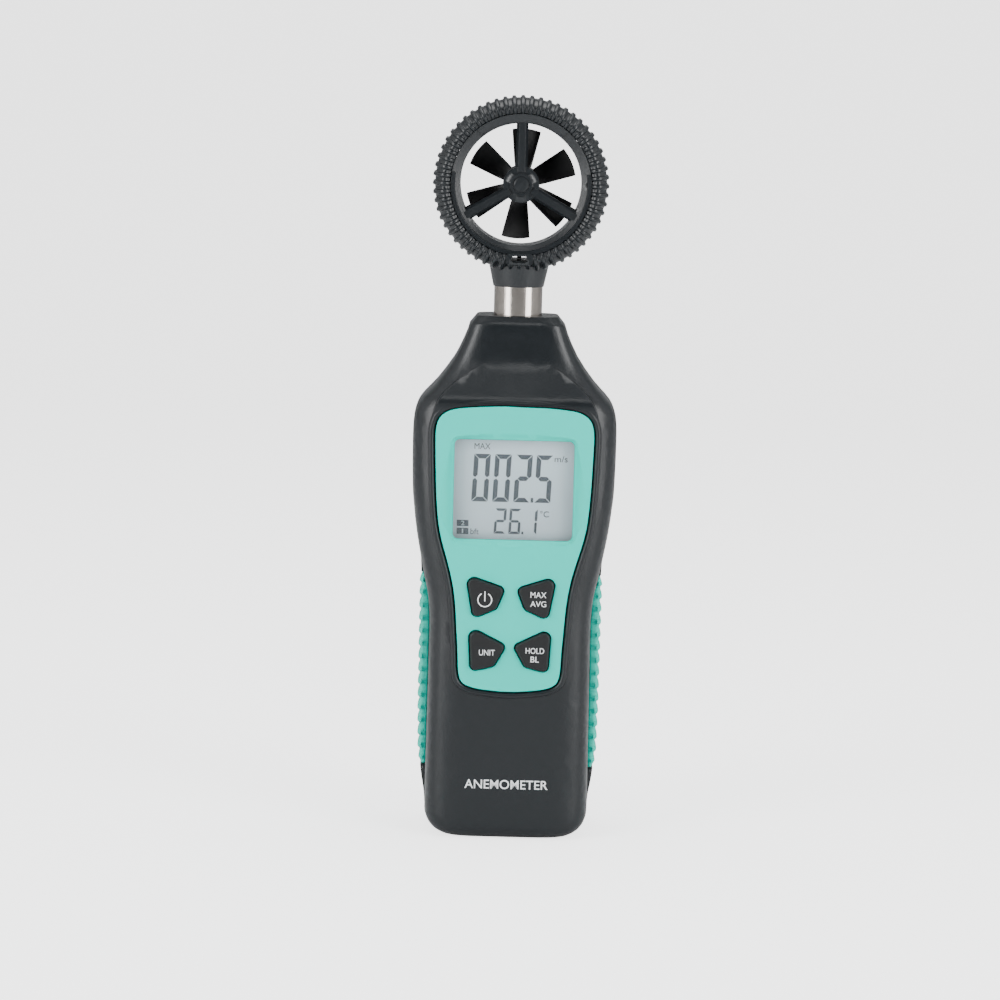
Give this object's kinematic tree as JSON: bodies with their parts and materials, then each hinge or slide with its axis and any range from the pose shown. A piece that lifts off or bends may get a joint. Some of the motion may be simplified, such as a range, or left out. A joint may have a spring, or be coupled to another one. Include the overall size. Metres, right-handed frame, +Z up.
{
  "type": "vane anemometer",
  "caption": "Hand-held vane anemometer with a ribbed guard ring on a round metal neck, display, keypad, side grips and battery compartment; vane, head, keys and battery door move.",
  "frame": {"origin": "middle of the flat foot that the case stands on, below the axis of the neck", "axes": "+Z up the instrument along the neck's axis, -Y out of the display face, +X to the right of someone reading the display"},
  "size_m": [0.0482, 0.03, 0.1752],
  "materials": {
    "case": "fine grained bluish charcoal ABS",
    "panel": "bright turquoise, semi-gloss",
    "window": "clear polished acrylic",
    "grip": "soft turquoise overmould",
    "board": "green glass-fibre circuit board",
    "lcd": "liquid-crystal cell with polariser",
    "guide": "diffusing acrylic",
    "holder": "white moulding",
    "strips": "layered conductive elastomer",
    "keys": "dark grey silicone",
    "pills": "conductive carbon",
    "mat": "translucent grey silicone",
    "screws": "zinc plated",
    "chip": "black epoxy",
    "cells": "wrapped steel can",
    "contacts": "nickel plated spring steel",
    "neck": "satin nickel plated tube",
    "seal": "nitrile ring",
    "head": "fine grained bluish charcoal ABS",
    "bearing": "black plug with a jewel cup",
    "vane": "black, lightly satin",
    "shaft": "ground steel",
    "emitter": "clear smoked epoxy",
    "detector": "black epoxy",
    "thermistor": "glazed blue bead",
    "lead": "grey sheath",
    "socket": "cream nylon"
  },
  "bodies": {
    "case": {"front_case": "case", "rear_case": "case", "face_panel": "panel", "display_window": "window", "left_grip": "grip", "right_grip": "grip", "main_board": "board", "lcd_glass": "lcd", "light_guide": "guide", "lcd_holder": "holder", "contact_strips": "strips", "keypad_mat": "mat", "case_screws": "screws", "board_screws": "screws", "controller_chip": "chip", "cell_1": "cells", "cell_2": "cells", "cell_3": "cells", "contact_plates": "contacts", "contact_springs": "contacts", "neck_seal": "seal", "lead_socket": "socket"},
    "head": {"neck_tube": "neck", "tube_clip": "contacts", "head_core": "head", "ring_cover_front": "head", "ring_cover_rear": "head", "front_guard": "head", "rear_guard": "head", "front_bearing": "bearing", "rear_bearing": "bearing", "infrared_emitter": "emitter", "infrared_detector": "detector", "thermistor": "thermistor", "sensor_board": "board", "sensor_lead": "lead"},
    "vane": {"impeller": "vane", "rotor_shaft": "shaft"},
    "battery_door": {"battery_door": "case"},
    "power_key": {"power_key": "keys", "power_pill": "pills"},
    "max_avg_key": {"max_avg_key": "keys", "max_avg_pill": "pills"},
    "unit_key": {"unit_key": "keys", "unit_pill": "pills"},
    "hold_key": {"hold_key": "keys", "hold_pill": "pills"}
  },
  "joints": [
    {"name": "head_swivel", "type": "hinge", "parent": "case", "child": "head", "pos_m": [0, 0, 0.118], "axis": [0, 0, 1], "range_deg": [-90, 90]},
    {"name": "vane_spin", "type": "hinge", "parent": "head", "child": "vane", "pos_m": [0, 0, 0.1546], "axis": [0, -1, 0], "continuous": true},
    {"name": "battery_door_slide", "type": "slide", "parent": "case", "child": "battery_door", "axis": [0, 0, -1], "range_m": [0, 0.045]},
    {"name": "power_press", "type": "slide", "parent": "case", "child": "power_key", "axis": [0, 1, 0], "range_m": [0, 0.0009], "stiffness_N_per_m": 900},
    {"name": "max_avg_press", "type": "slide", "parent": "case", "child": "max_avg_key", "axis": [0, 1, 0], "range_m": [0, 0.0009], "stiffness_N_per_m": 900},
    {"name": "unit_press", "type": "slide", "parent": "case", "child": "unit_key", "axis": [0, 1, 0], "range_m": [0, 0.0009], "stiffness_N_per_m": 900},
    {"name": "hold_press", "type": "slide", "parent": "case", "child": "hold_key", "axis": [0, 1, 0], "range_m": [0, 0.0009], "stiffness_N_per_m": 900}
  ]
}
